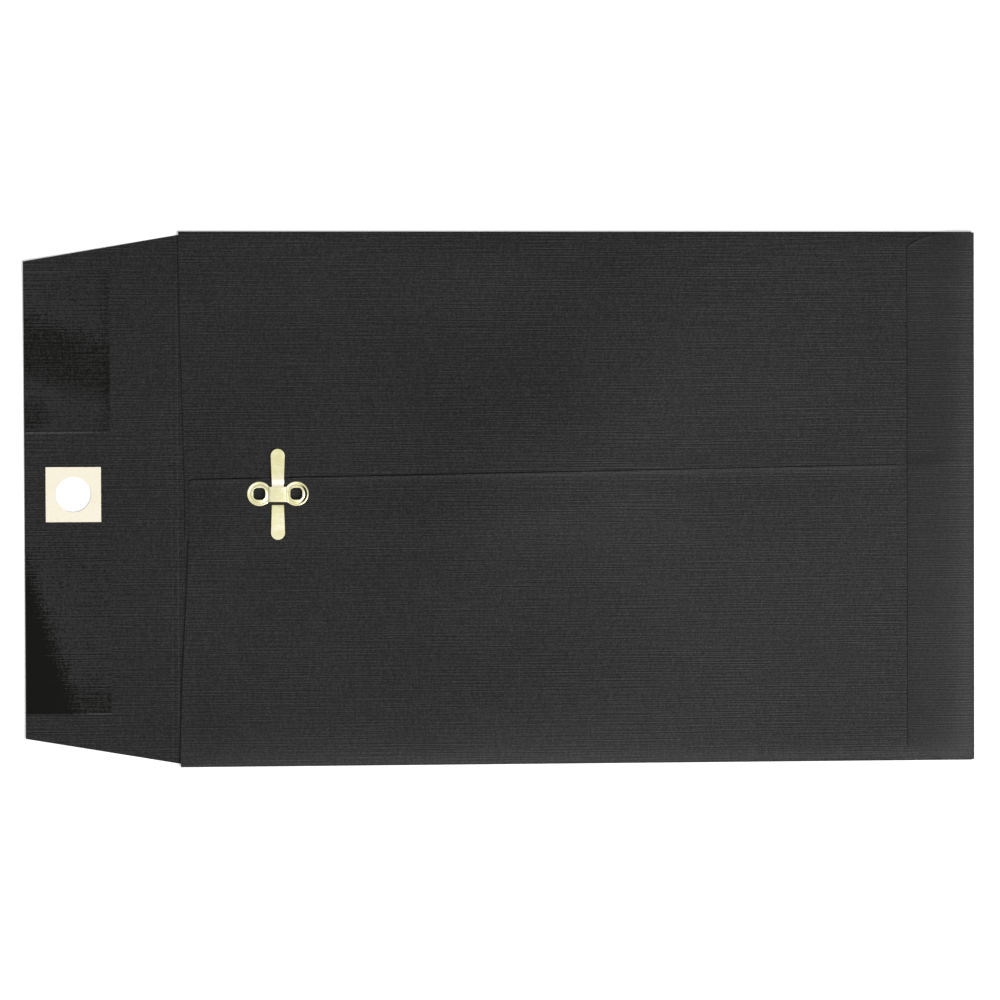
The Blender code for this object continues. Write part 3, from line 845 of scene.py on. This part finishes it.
def makeFlapSheet():
    def place(u, v):
        # columns crowd at the crease
        x = stripMiddleX + crowdStart(u) * (envelope["flapEndX"] - stripMiddleX)
        return x, (v * 2 - 1) * flapHalfWidth(x), envelope["faceZ"]

    piece = addGrid("flap_sheet", flap["columns"], flap["rows"], place)
    thicken(piece, envelope["paper"])
    cutFlapHole(piece)
    pressCreases(piece)
    moveUp(piece, flapLift)
    layOut(piece, layers["face"])
    finish(piece, linenPaper, "linen_paper", None, "closure_flap")
    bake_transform(piece)


patch = dict(side=15.6 * mm, thickness=0.12 * mm, seat=0.27 * mm)


def makeHolePatch():
    def place(u, v):
        x = envelope["holeX"] + (u - 0.5) * patch["side"]
        return x, envelope["claspY"] + (v - 0.5) * patch["side"], patch["seat"]

    piece = addGrid("hole_patch_sheet", 24, 24, place)
    thicken(piece, patch["thickness"])
    cutFlapHole(piece)
    moveUp(piece, flapLift)
    layOut(piece, layers["patch"])
    finish(piece, patchPaper, "patch_paper", "flap", "hole_patch")


gum = dict(
    film=0.05 * mm, seat=0.235 * mm, depth=24.0 * mm, endMargin=0.3 * mm, waver=0.16 * mm,
    ridge=0.13 * mm, ridgeWidth=0.24 * mm, ridgeInset=0.3 * mm, columns=60, rows=180,
)


def makeGumStrip(name, low, high, ridges, material, node):
    left = envelope["flapEndX"] + gum["endMargin"]

    def place(u, v):
        # the brushed edges waver
        y = low + v * (high - low)
        x = left + u * gum["depth"]
        waverX = noise.noise(Vector((y * 260, 0.3, 1.7))) * gum["waver"] * u
        waverY = noise.noise(Vector((x * 300, 2.2, low * 900))) * gum["waver"] * abs(2 * v - 1)
        return x + waverX, y + waverY, gum["seat"]

    piece = addGrid(name, gum["columns"], gum["rows"], place)
    thicken(piece, gum["film"])

    def height(x, y):
        # the gum dries proud along some of its edges
        proud = sum(bell(y - edge, gum["ridgeWidth"]) for edge in ridges)
        proud += 0.5 * bell(x - left - gum["depth"] + gum["ridgeInset"], gum["ridgeWidth"])
        return flapLift(x, y) + gum["ridge"] * proud

    moveUp(piece, height)
    layOut(piece, layers["gum"])
    finish(piece, material, "gum", "flap", node)


makeScoreBand()
makeFlapSheet()
makeHolePatch()
makeGumStrip("gum_upper", 18.9 * mm, 65.1 * mm, (19.3 * mm, 64.7 * mm), gumUpper, "gum_strip_upper")
makeGumStrip("gum_lower", -61.0 * mm, -10.6 * mm, (-60.6 * mm,), gumLower, "gum_strip_lower")
print("flap made")

# clasp

saddle = dict(
    metal=0.25 * mm, bevel=0.035 * mm,
    ringRadius=3.45 * mm, hole=3.45 * mm, holeCorner=1.15 * mm, edge=0.24 * mm,
    bridgeUpper=1.95 * mm, bridgeLower=2.3 * mm, bridgeTop=0.68 * mm, crown=0.06 * mm, roll=0.035 * mm,
    span=1.95 * mm, ramp=1.1 * mm, neck=0.35 * mm,
    barrel=0.9 * mm, barrelTop=0.3 * mm, barrelWall=0.18 * mm, barrelPower=5.0,
    petal=1.4 * mm, petalRoot=2.2 * mm, petalTip=1.5 * mm, clinchZ=0.69 * mm, clinchDrop=0.12 * mm,
    columns=230, rows=84,
)
# radius and height of the eyelet's bead, groove and rim, in mm
eyeletProfile = [
    (0.0, 0.38), (1.5, 0.38), (1.78, 0.47), (2.05, 0.49), (2.3, 0.43), (2.55, 0.29),
    (2.78, 0.24), (2.98, 0.27), (3.12, 0.34), (3.3, 0.35), (3.45, 0.25), (9.0, 0.25),
]


def saddleHalfWidth(x, bridge):
    off = abs(x) - eyelets["pitch"] / 2
    ring = math.sqrt(max(saddle["ringRadius"] ** 2 - off * off, 0))
    if off >= 0:
        return ring
    # the neck flows into the ring
    gap = max(saddle["neck"] - abs(ring - bridge), 0) / saddle["neck"]
    return max(ring, bridge) + gap * gap * saddle["neck"] / 4


def eyeletTop(side, along, across):
    # the right eyelet was set harder on its outer side, so its groove is deeper there
    radius = math.hypot(along, across) / mm
    for (nearR, nearZ), (farR, farZ) in zip(eyeletProfile, eyeletProfile[1:]):
        if radius <= farR:
            height = nearZ + (farZ - nearZ) * smoothBetween(radius, nearR, farR)
            break
    if side > 0:
        lean = max(math.cos(math.atan2(across, along)), 0) ** 1.5
        height -= 0.13 * lean * bell(radius - 2.76, 0.22)
    return height * mm


def saddleTop(x, y):
    side = 1 if x > 0 else -1
    span, rampEnd = saddle["span"], saddle["span"] + saddle["ramp"]
    ring = eyeletTop(side, abs(x) - eyelets["pitch"] / 2, y)
    arch = 1 - smoothBetween(abs(x), span, rampEnd)
    crown = saddle["crown"] * (1 - (x / span) ** 2) if abs(x) < span else 0
    roll = saddle["roll"] * smoothBetween(abs(y), 1.6 * mm, 2.4 * mm) * arch  # the bridge's edges turn down
    fade = smoothBetween(abs(x), span + 0.2 * mm, rampEnd + 0.9 * mm)
    low = saddle["edge"] + (ring - saddle["edge"]) * fade
    return low + (saddle["bridgeTop"] - low) * arch + crown - roll


def saddlePaintedLight(x, y):
    # painted shade in the eyelets' grooves, darkest at the right eyelet's outer side, where its groove is
    # deepest, and at the upper right of the left one; the rest of the saddle is mixed towards the paler
    # colour
    along, across = abs(x - envelope["claspX"]) - eyelets["pitch"] / 2, y - envelope["claspY"]
    radius, angle = math.hypot(along, across) / mm, math.atan2(across, along)
    pale = 0.28 if radius < 3.6 else 0.34
    if x > envelope["claspX"]:
        lean = max(math.cos(angle + 0.1), 0) ** 1.6
        return (1.7 * lean + 0.3) * bell(radius - 2.78, 0.30) - pale
    lean = max(math.cos(angle - 2.3), 0) ** 1.5
    return (0.6 * lean + 0.2) * bell(radius - 2.62, 0.24) - pale


def makeBarrel(centreX):
    # the wall of the pierced hole, down through the paper
    half, power = saddle["hole"] / 2 + 0.1 * mm, saddle["barrelPower"]

    def place(u, v):
        angle = u * 2 * math.pi
        reach = (abs(math.cos(angle)) ** power + abs(math.sin(angle)) ** power) ** (-1 / power) * half
        z = envelope["claspZ"] + saddle["barrelTop"] - v * saddle["barrel"]
        return centreX + reach * math.cos(angle), envelope["claspY"] + reach * math.sin(angle), z

    piece = addGrid("barrel", 64, 4, place)
    faceOutwards(piece)
    thicken(piece, saddle["barrelWall"])
    return piece


def makePetal(centreX, turn):
    # one of the four clinched petals that hold the saddle inside the pocket
    root = saddle["hole"] / 2 + 0.05 * mm

    def place(u, v):
        out = root + u * saddle["petal"]
        width = saddle["petalRoot"] + (saddle["petalTip"] - saddle["petalRoot"]) * u
        side = (v - 0.5) * width * (1 - 0.25 * u ** 6)
        z = saddle["clinchZ"] - saddle["clinchDrop"] * (1 - u) ** 3
        x = out * math.cos(turn) - side * math.sin(turn)
        y = out * math.sin(turn) + side * math.cos(turn)
        return centreX + x, envelope["claspY"] + y, z

    piece = addGrid("petal", 8, 6, place)
    thicken(piece, saddle["barrelWall"])
    return piece


def makeSaddle():
    def place(u, v):
        x = -math.cos(u * math.pi) * (eyelets["pitch"] / 2 + saddle["ringRadius"])
        half = saddleHalfWidth(x, saddle["bridgeUpper" if v > 0.5 else "bridgeLower"])
        return envelope["claspX"] + x, envelope["claspY"] + math.sin((v - 0.5) * math.pi) * half, 0

    def middle(x, y):
        return saddleTop(x - envelope["claspX"], y - envelope["claspY"]) - saddle["metal"] / 2

    piece = addGrid("clasp_saddle_metal", saddle["columns"], saddle["rows"], place)
    faceOutwards(piece)
    moveUp(piece, middle)
    applyModifier(piece, "SOLIDIFY", thickness=saddle["metal"], offset=0, use_even_offset=False)
    for vertex in piece.data.vertices:
        vertex.co.z = max(vertex.co.z, 0)  # pressed flat on the paper
    faceOutwards(piece)
    pieces = [piece]
    for side in (-1, 1):
        cutEyeletHole(piece, side, saddle["hole"], saddle["holeCorner"])
        pieces.append(makeBarrel(eyeletX(side)))
        for quarter in range(4):
            pieces.append(makePetal(eyeletX(side), quarter * math.pi / 2))
    moveUp(piece, lambda x, y: envelope["claspZ"])
    makeActive(*pieces)
    bpy.ops.object.join()
    piece = bpy.context.object
    bevelSharp(piece, saddle["bevel"], 2, 55)
    layOut(piece, layers["saddle"])
    markPoints(piece, "paintedLight", saddlePaintedLight)
    finish(piece, paleBrass, "clasp_metal", "pocket", "clasp_saddle")


prong = dict(
    metal=0.35 * mm, upperReach=12.75 * mm, lowerReach=13.1 * mm, rootWidth=3.35 * mm, tipWidth=3.95 * mm,
    bend=2.6 * mm, bow=0.24 * mm, bowRun=1.7 * mm, bevel=0.06 * mm,
    scoreY=2.72 * mm, scoreWidth=0.40 * mm, upperScore=0.02 * mm, lowerScore=0.16 * mm,
    columns=16, rows=200,
)


def upperProngPaintedLight(y, share):
    # a painted highlight where it leaves the bridge
    return -0.8 * (1 - smoothBetween(y, 3.0 * mm, 6.4 * mm))


def lowerProngPaintedLight(y, share):
    # a painted shadow of the bridge in its score line, and a painted reflection, paler metal, beyond it
    return 2.2 * share - 0.34 * smoothBetween(y, 3.0 * mm, 7.0 * mm)


def makeProng(name, side, reach, score, paintedLight, body, *nodes):
    tipRadius = prong["tipWidth"] / 2
    tipCentre = reach - tipRadius
    middleZ = envelope["claspZ"] + prong["metal"] / 2

    def halfWidth(y):
        if y > tipCentre:
            return math.sqrt(max(tipRadius ** 2 - (y - tipCentre) ** 2, 0))
        share = min(max((y - prong["bend"]) / (tipCentre - prong["bend"]), 0), 1)
        return (prong["rootWidth"] + (prong["tipWidth"] - prong["rootWidth"]) * share) / 2

    def place(u, v):
        y = v * 2 * tipCentre if v < 0.5 else tipCentre + math.sin((v - 0.5) * math.pi) * tipRadius
        x = (u * 2 - 1) * halfWidth(y)
        # it bows up where it leaves the bridge and comes down to its tip
        clear = y - prong["bend"] + 0.1 * mm
        bow = hump(clear, (0, prong["bowRun"]), (prong["bowRun"] * 0.6, reach - prong["bend"]))
        return envelope["claspX"] + x, envelope["claspY"] + side * y, middleZ + prong["bow"] * bow

    def scoreShare(y):
        return bell(abs(y - envelope["claspY"]) - prong["scoreY"], prong["scoreWidth"])

    piece = addGrid(name, prong["columns"], prong["rows"], place)
    faceOutwards(piece)
    thicken(piece, prong["metal"])
    bevelSharp(piece, prong["bevel"], 3, 50)
    for vertex in piece.data.vertices:
        # scored across where it bends
        if vertex.co.z > middleZ:
            vertex.co.z -= score * scoreShare(vertex.co.y)
    layOut(piece, layers["prongs"] + side)
    markPoints(piece, "paintedLight", lambda x, y: paintedLight(abs(y - envelope["claspY"]), scoreShare(y)))
    finish(piece, paleBrass, "clasp_metal", None, *nodes)
    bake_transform(piece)


makeSaddle()
makeProng("prong_upper_metal", 1, prong["upperReach"], prong["upperScore"], upperProngPaintedLight,
          "upper_prong", "prong_upper", "prong_web")
makeProng("prong_lower_metal", -1, prong["lowerReach"], prong["lowerScore"], lowerProngPaintedLight,
          "lower_prong", "prong_lower")
print("clasp made")

# table, light and camera

studio = dict(
    fill=0.37, ceilingLow=0.34, tableEmission=0.34, tableColour=(0.86, 0.86, 0.86, 1), tableZ=-0.02 * mm,
    keyPlace=(0.96, -0.87, 1.58), keySize=1.02, keyPower=42.6,
    cameraPlace=(-0.05425, 0.01573, 0.89206), cameraTurn=(-1.028, -3.423, -0.21), lens=112.42,
)


def makeTable():
    clearSelection()
    bpy.ops.mesh.primitive_plane_add(size=6, location=(0, 0, studio["tableZ"]))
    table = bpy.context.object
    table.name = "table"
    material = bpy.data.materials.new("paleTable")
    material.use_nodes = True
    material.node_tree.nodes.clear()
    start = Wire(material.node_tree)
    rays = start.node("ShaderNodeLightPath")
    seen = rays
    for name in ("Is Glossy Ray", "Is Transmission Ray"):  # these see the white table too
        seen = start.maths("MAXIMUM", seen, outputOf(rays, name))
    glow = start.node("ShaderNodeEmission", None, {"Strength": seen * studio["tableEmission"]})
    matte = start.node("ShaderNodeBsdfDiffuse", None, {"Color": studio["tableColour"]})
    both = start.node("ShaderNodeAddShader", None, {0: matte, 1: glow})
    start.node("ShaderNodeOutputMaterial", None, {"Surface": both})
    table.data.materials.append(material)


def makeWorld():
    world = bpy.data.worlds.new("whiteRoom")
    bpy.context.scene.world = world
    world.use_nodes = True
    world.node_tree.nodes.clear()
    start = Wire(world.node_tree)
    seen = start.node("ShaderNodeLightPath")
    glossy = outputOf(seen, "Is Glossy Ray")
    # bright overhead and dim near the table, as the metal sees it
    height = axisOf(start.node("ShaderNodeTexCoord"), 2)
    ceiling = studio["ceilingLow"] + ramp(start, height, 0.2, 0.8) * (1 - studio["ceilingLow"])
    strength = studio["fill"] + seen * (1 - studio["fill"]) + glossy * (ceiling - studio["fill"])
    sky = start.node("ShaderNodeBackground", None, {"Color": (1, 1, 1, 1), "Strength": strength})
    start.node("ShaderNodeOutputWorld", None, {"Surface": sky})


def makeKeyLamp():
    clearSelection()
    bpy.ops.object.light_add(type="AREA", location=studio["keyPlace"])
    lamp = bpy.context.object
    lamp.name = "keyLamp"
    lamp.data.size = studio["keySize"]
    lamp.data.energy = studio["keyPower"]
    lamp.rotation_euler = (-Vector(studio["keyPlace"])).to_track_quat("-Z", "Y").to_euler()


def makeCamera():
    clearSelection()
    turn = [math.radians(angle) for angle in studio["cameraTurn"]]
    bpy.ops.object.camera_add(location=studio["cameraPlace"], rotation=turn)
    camera = bpy.context.object
    camera.data.lens = studio["lens"]
    camera.data.sensor_width = 36
    bpy.context.scene.camera = camera


makeTable()
makeWorld()
makeKeyLamp()
makeCamera()
bpy.context.scene.view_settings.view_transform = "Standard"
print("studio made")
